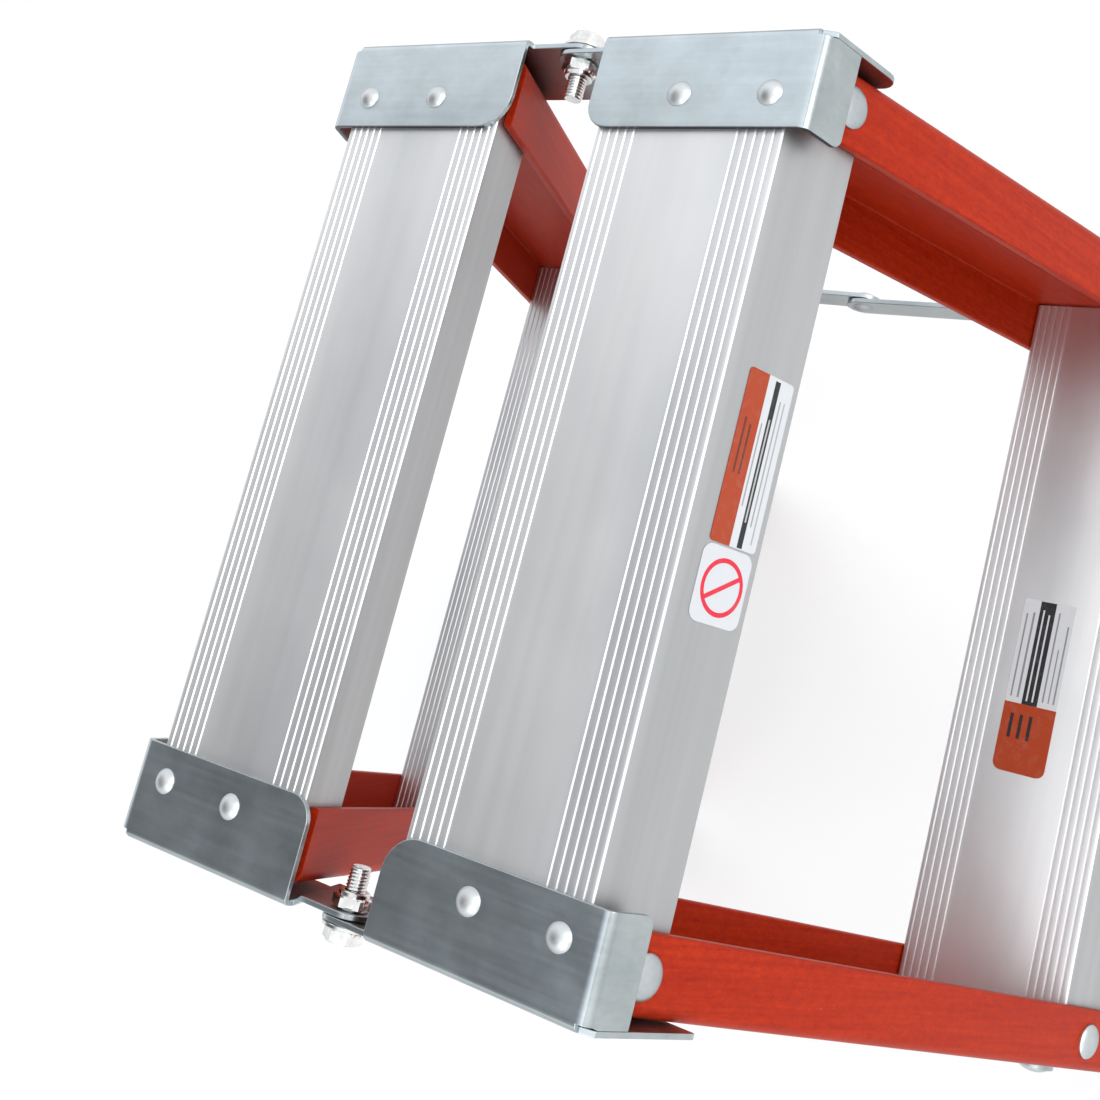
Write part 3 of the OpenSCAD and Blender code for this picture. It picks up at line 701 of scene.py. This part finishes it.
washers = bmesh.new()
nuts = bmesh.new()
for hand, s in HANDS.items():
    thread_end, head_end = from_middle(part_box(f"{hand}_hinge_bolt"))
    washer_face = bracket_out + ear_gap
    washer_top = washer_face + 1.6 * MM
    nut_face = bracket_out - 2 * sheet - ear_gap - (ear_gap if s < 0 else 0)
    shank_from = nut_face - shank_start
    outward = facing(s * thread_end, bolt_y, bolt_z, Vector((s, 0, 0)))
    inward = facing(s * shank_from, bolt_y, bolt_z, Vector((-s, 0, 0)))
    bolt = bmesh.new()
    threaded(bolt, inward, shank_from - thread_end)
    turn_on_lathe(bolt, outward, [(bolt_r, shank_from - thread_end),
                                  (bolt_r, head_end - thread_end - shank_start)])
    head = facing(s * washer_top, bolt_y, bolt_z, Vector((s, 0, 0)))
    turn_on_lathe(bolt, head, chamfered(hex_flats, head_end - washer_top), 48, flats=hex_flats)
    put(f"{hand}_bolt", bolt, plated, "front_section", "bolt_zinc", f"{hand}_hinge_bolt")
    under = facing(s * washer_face, bolt_y, bolt_z, Vector((s, 0, 0)))
    thick = washer_top - washer_face
    rim = washer_r - washer_edge
    turn_on_lathe(washers, under, [(bolt_r, 0), (rim, 0), (washer_r, washer_edge),
                                   (washer_r, thick - washer_edge), (rim, thick), (bolt_r, thick)],
                  40, closed=True)
    nut = facing(s * nut_face, bolt_y, bolt_z, Vector((-s, 0, 0)))
    hexagon = 0.72 * nut_length
    collar = [(nut_collar, hexagon), (nut_collar, 0.93 * nut_length),
              (nut_collar - 0.5 * MM, nut_length), (bolt_r, nut_length)]
    turn_on_lathe(nuts, nut, [(bolt_r, 0)] + chamfered(hex_flats, hexagon)[1:-1] + collar,
                  48, flats=hex_flats, closed=True)
put("bolt_washers", washers, plated, "front_section", "bolt_zinc", "hinge_washers")
put("lock_nuts", nuts, plated, "front_section", "bolt_zinc", "hinge_lock_nuts")

# ---- Knee braces ----
# Under each bottom step a bent strap runs from the tread down to the middle of each rail's web. It is
# galvanised steel with rounded ends, held by one rivet at each end.
brace_drop = 118 * MM
brace_reach = 96 * MM
brace_sheet = 3 * MM
brace_width = 20 * MM
brace_tab = 34 * MM
brace_bend = 5 * MM
brace_corner = 5 * MM
brace_rivet_tail = (5 * MM, 2 * MM)
bottom_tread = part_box("front_step_1")[1]
brace_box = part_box("front_right_knee_brace")
brace_middle = brace_box[1].y - brace_width / 2 + step_wall * slope


def brace_y(z):
    """Middle of the strap's width at a height from the bottom tread."""
    return brace_middle + z * slope


def web_face(z):
    """The rail's inner face along the strap, clear of its edges."""
    height = leaning_height(brace_y(z), bottom_tread.z + z)
    clear = spread * math.sin(lean) * brace_width / 2
    return rail_x(height) - rail_wall * math.hypot(1, spread) - clear


def strap(shape, where, path):
    """A flat strip along a path of (x, z), with round corners at both ends."""
    rows = []
    for a in (0, 30, 60):
        rows.append((brace_corner * (1 - math.cos(math.radians(a))),
                     brace_width / 2 - brace_corner + brace_corner * math.sin(math.radians(a))))
    ends = [(path[0], path[1]), (path[-1], path[-2])]
    run = []
    for end, (tip, inner) in enumerate(ends):
        along = (inner - tip).normalized()
        turn = [(tip + along * u, half) for u, half in rows]
        turn.append((tip + along * brace_corner, brace_width / 2))
        run.append(turn if end == 0 else turn[::-1])
    run = run[0] + [(p, brace_width / 2) for p in path[1:-1]] + run[1]
    made = []
    for p, half in run:
        edges = [Vector((p.x, brace_y(p.y) + way * half, bottom_tread.z + p.y)) for way in (-1, 1)]
        made.append([shape.verts.new(where @ edge) for edge in edges])
    for (a, b), (c, d) in zip(made, made[1:]):
        shape.faces.new((a, b, d, c))


for side in SIDES:
    for hand, s in HANDS.items():
        brace = bmesh.new()
        bend_z = brace_tab - brace_drop
        tab_x = web_face(0) - brace_reach
        corners = [(tab_x, -step_wall, 0), (tab_x + brace_tab, -step_wall, brace_bend),
                   (web_face(bend_z), bend_z, brace_bend), (web_face(-brace_drop), -brace_drop, 0)]
        where = turned[side] @ Matrix.Scale(s, 4, (1, 0, 0))
        strap(brace, where, rounded(corners, 6))
        bmesh.ops.recalc_face_normals(brace, faces=brace.faces)
        highest = max(brace.faces, key=lambda f: f.calc_center_median().z)
        if highest.normal.z < 0:
            bmesh.ops.reverse_faces(brace, faces=brace.faces)
        put(f"{side}_{hand}_brace_strap", brace, galvanised, f"{side}_section", "strap_steel",
            f"{side}_{hand}_knee_brace", edge=0.5 * MM, thick=brace_sheet)
    rivets = bmesh.new()
    hole = brace_tab / 2 - brace_drop
    for s in HANDS.values():
        foot_y = brace_y(hole)
        foot_z = bottom_tread.z + hole
        web = rail_x(leaning_height(foot_y, foot_z))
        tab = web_face(0) - brace_reach + brace_tab / 2
        face = web - rail_wall - brace_sheet - 0.5 * MM
        head = turned[side] @ facing(s * web, foot_y, foot_z, Vector((s, 0, 0)))
        tail = turned[side] @ facing(s * face, foot_y, foot_z, Vector((-s, 0, 0)))
        round_rivet(rivets, head, tail, large_head, brace_rivet_tail)
        under = bottom_tread.z - step_wall - brace_sheet
        head = turned[side] @ facing(s * tab, brace_y(0), under, Vector((0, 0, -1)))
        turn_on_lathe(rivets, head, dome(*large_head))
    put(f"{side}_strap_rivets", rivets, zinc, f"{side}_section", "rivet_zinc", f"{side}_brace_rivets")

# ---- Feet ----
# An aluminium shoe is riveted over the end of each rail, with a moulded rubber pad under its sole.
# The shoe leans with the rail, and the pad's ribs run across the floor.
pad_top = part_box("front_left_foot_pad")[1].z
shoe_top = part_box("front_left_foot_shoe")[1].z
sole_top = left_rail[0].z
shoe_wall = 2.5 * MM
pad_margin = 5 * MM
foot_rivet_height = 48 * MM

rubber = Finish("Moulded_rubber", Specular_IOR_Level=0.35)
dust = rubber.noise(120, 5, roughness=0.7)
pores = rubber.noise(1500, 2)
rubber.set(Base_Color=rubber.ramp(dust, [(0.35, (0.018, 0.018, 0.019)), (0.75, (0.055, 0.053, 0.050))]),
           Roughness=0.62 + dust * 0.25)
rubber.relief(pores * 0.6 + dust * 0.4, 0.35, 0.0002)

shoe_front = -rail_depth - shoe_wall
shoe_corners = [(-rail_flange, shoe_front, 1 * MM), (shoe_wall, shoe_front, 6.5 * MM),
                (shoe_wall, shoe_wall, 6.5 * MM), (-rail_flange, shoe_wall, 1 * MM),
                (-rail_flange, 0, 0.6 * MM), (0, 0, 4.5 * MM), (0, -rail_depth, 4.5 * MM),
                (-rail_flange, -rail_depth, 0.6 * MM)]
sole_out = shoe_wall + 1 * MM
sole_corners = [(-rail_flange - shoe_wall, -rail_depth - sole_out, 4 * MM),
                (sole_out, -rail_depth - sole_out, 7 * MM), (sole_out, sole_out, 7 * MM),
                (-rail_flange - shoe_wall, sole_out, 4 * MM)]
pad_corners = [(-rail_flange - pad_margin, -rail_depth - pad_margin, 6 * MM),
               (pad_margin, -rail_depth - pad_margin, 9 * MM), (pad_margin, pad_margin, 9 * MM),
               (-rail_flange - pad_margin, pad_margin, 6 * MM)]
rib_count = 6
rib_inset = 3 * MM
rib_corner = 2 * MM
rib_height = 2.5 * MM

for side in SIDES:
    rivets = bmesh.new()
    for hand, s in HANDS.items():
        shoe = bmesh.new()
        skin(shoe, around_rail(side, s, shoe_corners, (sole_top - 0.4 * MM, shoe_top)))
        skin(shoe, around_rail(side, s, sole_corners, (pad_top, sole_top)))
        put(f"{side}_{hand}_end_shoe", shoe, aluminium, f"{side}_section", "shoe_aluminium",
            f"{side}_{hand}_foot_shoe", edge=0.5 * MM)
        pad = bmesh.new()
        skin(pad, around_rail(side, s, pad_corners, (rib_height, pad_top)))
        low = around_rail(side, s, pad_corners, (0,))[0]
        y_low = min(p.y for p in low)
        y_high = max(p.y for p in low)
        x_low = min(p.x for p in low) + rib_inset
        x_high = max(p.x for p in low) - rib_inset
        rib_pitch = (y_high - y_low) / rib_count
        for i in range(rib_count):
            a = y_low + (i + 0.14) * rib_pitch
            b = y_low + (i + 0.86) * rib_pitch
            rib = rounded([(x_low, a, rib_corner), (x_high, a, rib_corner),
                           (x_high, b, rib_corner), (x_low, b, rib_corner)], 4)
            skin(pad, [[Vector((x, y, z)) for x, y in rib] for z in (0, rib_height + 0.3 * MM)])
        put(f"{side}_{hand}_rubber_pad", pad, rubber, f"{side}_section", "pad_rubber",
            f"{side}_{hand}_foot_pad", edge=0.4 * MM)
        for depth in (0.27, 0.73):
            y = -rail_depth * depth
            z = (foot_rivet_height - tread_top + y * math.sin(lean)) / math.cos(lean)
            sideways = Matrix.Rotation(s * (math.pi / 2 - math.atan(spread)), 4, "Y")
            face = turned[side] @ leaning @ Matrix.Translation((s * rail_x(z), y, z)) @ sideways
            head = face @ Matrix.Translation((0, 0, shoe_wall))
            tail = face @ Matrix.Translation((0, 0, -rail_wall)) @ Matrix.Rotation(math.pi, 4, "X")
            round_rivet(rivets, head, tail, large_head, large_tail)
    put(f"{side}_shoe_rivets", rivets, zinc, f"{side}_section", "rivet_zinc", f"{side}_foot_rivets")

# ---- Spreaders ----
# On each hand a front and a rear bar hold the ladder open. Each is galvanised strip that turns on a
# shouldered rivet through its rail, and the two meet at a rivet below the hinge, a little lower than
# their pivots, so that they lock when straight.
bar_width = 20 * MM
collar_r = 9 * MM
neck_r = 4 * MM
pivot_cap = (8 * MM, 3 * MM)
pivot_tail = (6.5 * MM, 2 * MM)
joint_head_r = 8 * MM
joint_tail_r = 6.5 * MM
pivots = {j["child"]: Vector(j["pos_m"]) for j in frame["joints"]}
for side in SIDES:
    studs = bmesh.new()
    for hand, s in HANDS.items():
        body = f"{side}_{hand}_spreader"
        rivet_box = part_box(f"{body}_rivet")
        pivot = pivots[body]
        way = 1 if pivot.x > 0 else -1
        inner, outer = from_middle(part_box(f"{body}_bar"))
        tail_end, head_end = from_middle(rivet_box)
        joint = (rivet_box[0] + rivet_box[1]) / 2
        along = Vector((0, joint.y - pivot.y, joint.z - pivot.z))
        length = along.length
        along.normalize()
        up = Vector((0, -along.z, along.y))
        half = bar_width / 2 - 0.01 * MM
        ring = rounded([(-half, -half, half), (length + half, -half, half),
                        (length + half, half, half), (-half, half, half)], 12)
        bar = bmesh.new()
        skin(bar, [[Vector((x, pivot.y, pivot.z)) + along * u + up * v for u, v in ring]
                   for x in (way * inner, way * outer)])
        put(f"{side}_{hand}_stay", bar, galvanised, body, "strap_steel", f"{body}_bar",
            edge=0.45 * MM)
        rivet = bmesh.new()
        if head_end > outer + 1 * MM:
            spot = facing(way * outer, joint.y, joint.z, Vector((way, 0, 0)))
            turn_on_lathe(rivet, spot, dome(joint_head_r, head_end - outer))
        else:
            spot = facing(way * inner, joint.y, joint.z, Vector((-way, 0, 0)))
            turn_on_lathe(rivet, spot, dome(joint_tail_r, inner - tail_end))
        put(f"{side}_{hand}_stay_rivet", rivet, zinc, body, "rivet_zinc", f"{body}_rivet")
        web = rail_x(leaning_height(pivot.y if side == "front" else -pivot.y, pivot.z))
        out = facing(way * (web + 0.3 * MM), pivot.y, pivot.z, Vector((way, 0, 0)))
        reach = inner - web - 0.6 * MM
        turn_on_lathe(studs, out, [(collar_r, 0), (collar_r, reach), (neck_r, reach),
                                   (neck_r, outer - web)], 32)
        cap = facing(way * (outer + 0.3 * MM), pivot.y, pivot.z, Vector((way, 0, 0)))
        back = facing(way * (web - rail_wall - 0.6 * MM), pivot.y, pivot.z, Vector((-way, 0, 0)))
        round_rivet(studs, cap, back, pivot_cap, pivot_tail)
    put(f"{side}_stay_pivots", studs, zinc, f"{side}_section", "rivet_zinc",
        f"{side}_spreader_pivots")

# ---- Labels ----
# Printed films stuck to the front of the top step and on the second tread. Their wording is left out:
# plain blocks of colour, a red ring with a bar and ruled lines stand in its place.
film = 0.25 * MM
ink = (0.012, 0.012, 0.014)
paper = (0.50, 0.51, 0.53)
faint_ink = (0.25, 0.25, 0.25)
orange = (0.31, 0.034, 0.004)
dark_orange = (0.10, 0.018, 0.006)
ring_red = (0.56, 0.012, 0.035)


def within(place, low, high):
    """One where a coordinate lies between two values, in millimetres."""
    return (place > low) * (place < high)


def print_on(finish, shade, along, across, blocks):
    """Lays blocks over a colour: each is from and to along, from and to across, and its colour."""
    for a, b, c, d, colour in blocks:
        shade = finish.mix(within(along, a, b) * within(across, c, d), shade, colour)
    return shade


def film_finish(name, shade_of):
    """A film's look; shade_of gives its colours from its finish and x in millimetres."""
    finish = Finish(name, Specular_IOR_Level=0.35)
    scuff = finish.noise(240, 4, roughness=0.7)
    shade = shade_of(finish, finish.axis("X") * 1000)
    finish.set(Base_Color=finish.mix((scuff - 0.5) * 0.3, shade, (0.42, 0.40, 0.40)),
               Roughness=0.34 + scuff * 0.2)
    finish.relief(scuff, 0.15, 0.00005)
    return finish


def down_the_flange(finish):
    """Distance down the step's front flange, in millimetres."""
    return (tread_top - finish.axis("Z")) * (1000 / math.cos(lean))


def front_label(finish, x):
    """An orange band over a pale one with a black bar and ruled lines."""
    down = down_the_flange(finish)
    blocks = [(-20, 60, 0, 21.7, orange), (-10.4, 50.4, 25.3, 27.9, ink)]
    blocks += [(-1.1, 36.3, 26.2, 27.0, (0.35,) * 3), (4, 34, 22.8, 23.5, faint_ink),
               (-2, 44, 29.4, 30.1, faint_ink), (-8, 44, 31.6, 32.3, (0.3,) * 3)]
    blocks += [(14, 34, 14.6, 15.6, dark_orange), (14, 32, 17.4, 18.4, dark_orange)]
    return print_on(finish, paper, x, down, blocks)


def front_sticker(finish, x):
    """A ring with a slanting bar, in millimetres from the ring's middle."""
    ring_inside = 8.6
    ring_outside = 10.3
    bar_half = 0.85
    bar_end = 9
    across = x + 25.4
    below = down_the_flange(finish) - 23.0
    radius = finish.sum("SQRT", across * across + below * below, 0)
    off_bar = finish.sum("ABSOLUTE", across * 0.85 - below * 0.53, 0)
    bar = (off_bar < bar_half) * (radius < bar_end)
    red = finish.sum("MAXIMUM", within(radius, ring_inside, ring_outside), bar)
    return finish.mix(red, paper, ring_red)


def tread_label(finish, x):
    """A pale film with a black bar and ruled lines, and an orange block at its left."""
    back = (next_step[1].y - finish.axis("Y")) * 1000
    grey = (0.2, 0.2, 0.2)
    blocks = [(-80, -27.8, 20, 60, orange), (-27.8, 24.2, 32.5, 40, ink)]
    blocks += [(-25, 17, 26.4, 27.2, grey), (-25, 18, 29.6, 30.6, grey),
               (-26, 20, 34.2, 35.0, paper), (-26, 18, 37.0, 37.8, paper),
               (-25, 20, 41.8, 42.6, grey), (-25, 2, 44.6, 45.2, grey), (-25, 14, 47.0, 47.8, grey)]
    blocks += [(-45, -33, y, y + 1.6, ink) for y in (28.5, 33.0, 37.6)]
    return print_on(finish, paper, x, back, blocks)


flange_normal = Vector((0, -math.cos(lean), math.sin(lean)))
lift = 0.02 * MM
flange_films = (("front_label", "top_step_label", "label_film", front_label, 1.6 * MM),
                ("front_sticker", "top_step_sticker", "sticker_film", front_sticker, 4 * MM))
for name, node, slot, shade_of, corner in flange_films:
    low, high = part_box(node)
    top = high.z - film * math.sin(lean)
    outline = rounded([(low.x, low.z, corner), (high.x, low.z, corner), (high.x, top, corner),
                       (low.x, top, corner)], 5)
    sheet_film = bmesh.new()
    skin(sheet_film, [[Vector((x, tread_front + (z - tread_top) * slope, z)) + flange_normal * rise
                       for x, z in outline] for rise in (lift, film)])
    put(name, sheet_film, film_finish(f"{name.capitalize()}_film", shade_of), "front_section",
        slot, node)

low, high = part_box("second_step_label")
outline = rounded([(low.x, low.y, 4 * MM), (high.x, low.y, 1 * MM), (high.x, high.y, 1 * MM),
                   (low.x, high.y, 4 * MM)], 5)
sheet_film = bmesh.new()
skin(sheet_film, [[Vector((x, y, z)) for x, y in outline] for z in (low.z + lift, high.z)])
put("tread_label", sheet_film, film_finish("Tread_label_film", tread_label), "front_section",
    "label_film", "second_step_label")

# ---- Studio ----
# A plain pale floor under soft even light, with one darker stretch of ceiling that gives the metal
# its tone.
paint = Finish("Pale_floor", Roughness=0.9, Specular_IOR_Level=0.1)
paint.set(Base_Color=paint.ramp(paint.noise(0.8, 2), [(0.3, (0.90, 0.90, 0.90)),
                                                      (0.7, (0.93, 0.93, 0.93))]))
ground = bmesh.new()
bmesh.ops.create_grid(ground, x_segments=1, y_segments=1, size=30)
floor_mesh = bpy.data.meshes.new("floor")
ground.to_mesh(floor_mesh)
ground.free()
floor_mesh.materials.append(paint.material)
floor = bpy.data.objects.new("floor", floor_mesh)
bpy.context.scene.collection.objects.link(floor)

world = bpy.data.worlds.new("Studio")
bpy.context.scene.world = world
world.use_nodes = True
sky = world.node_tree
direction = sky.nodes.new("ShaderNodeTexCoord")
toward = sky.nodes.new("ShaderNodeVectorMath")
toward.operation = "DOT_PRODUCT"
toward.inputs[1].default_value = (-0.25, 0.60, 0.76)
sky.links.new(direction.outputs["Generated"], toward.inputs[0])
level = sky.nodes.new("ShaderNodeMapRange")
level.interpolation_type = "SMOOTHSTEP"
sky.links.new(toward.outputs["Value"], level.inputs["Value"])
level.inputs["From Min"].default_value = 0.70
level.inputs["From Max"].default_value = 0.985
level.inputs["To Min"].default_value = 1.25
level.inputs["To Max"].default_value = 0.16
glow = sky.nodes["Background"]
glow.inputs["Color"].default_value = (0.97, 0.985, 1.0, 1)
sky.links.new(level.outputs["Result"], glow.inputs["Strength"])


def softbox(name, place, target, size, power):
    """A round area light at a place, turned to a target."""
    light = bpy.data.lights.new(name, "AREA")
    light.shape = "DISK"
    light.size = size
    light.energy = power
    lamp = bpy.data.objects.new(name, light)
    lamp.location = place
    lamp.rotation_euler = (Vector(target) - Vector(place)).to_track_quat("-Z", "Y").to_euler()
    bpy.context.scene.collection.objects.link(lamp)


softbox("Front_softbox", (0.9, -3.0, 3.4), (0, 0, tread_top), 2.4, 60)
softbox("Side_softbox", (-2.8, -1.6, 3.6), (0, 0, tread_top), 2.4, 40)

camera = bpy.data.cameras.new("Camera")
camera.sensor_width = 36
camera.lens = 43.09
camera.shift_x = -0.0455
camera.shift_y = -0.0818
camera.clip_start = 0.01
viewer = bpy.data.objects.new("Camera", camera)
right = Vector((0.2480, -0.8388, -0.4847)).normalized()
forward = Vector((0.1489, 0.5273, -0.8365))
forward = (forward - right * forward.dot(right)).normalized()
up = right.cross(forward)
viewer.matrix_world = (Matrix.Translation((-0.0610, -0.3080, tread_top + 0.3881))
                       @ Matrix((right, up, -forward)).transposed().to_4x4())
bpy.context.scene.collection.objects.link(viewer)
bpy.context.scene.camera = viewer
bpy.context.scene.view_settings.view_transform = "Standard"
